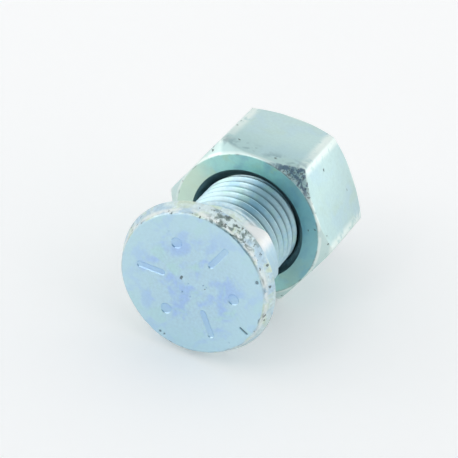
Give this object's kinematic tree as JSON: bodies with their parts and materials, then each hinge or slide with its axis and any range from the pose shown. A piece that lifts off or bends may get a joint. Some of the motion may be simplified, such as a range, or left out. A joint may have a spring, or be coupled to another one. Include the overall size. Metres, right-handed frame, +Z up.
{
  "type": "plow bolt with hex nut",
  "caption": "Flat round countersunk head, a short neck with a key on one side that keeps it from turning, and a right-hand threaded shank, with a hexagon nut run part way up the thread.",
  "frame": {"origin": "on the surface it lies on, under the middle of the whole object", "axes": "+Y runs along the bolt from its head to its point, apart from a dip of 0.82 degrees towards the nut; +Z is up, square to a flat of the nut within the same 0.82 degrees"},
  "size_m": [0.0242, 0.0352, 0.0218],
  "materials": {
    "plated_bolt": "bright zinc plate with a pale blue passivation, satin on the head, smooth on the rolled thread",
    "plated_nut": "bright zinc plate with a pale blue-green passivation, satin flats"
  },
  "bodies": {
    "bolt": {"plow_bolt": "plated_bolt"},
    "nut": {"hex_nut": "plated_nut"}
  },
  "joints": [
    {"name": "nut_travel", "type": "slide", "parent": "bolt", "child": "nut", "axis": [0, 0.9999, -0.0143], "range_m": [-0.006, 0.018]}
  ]
}
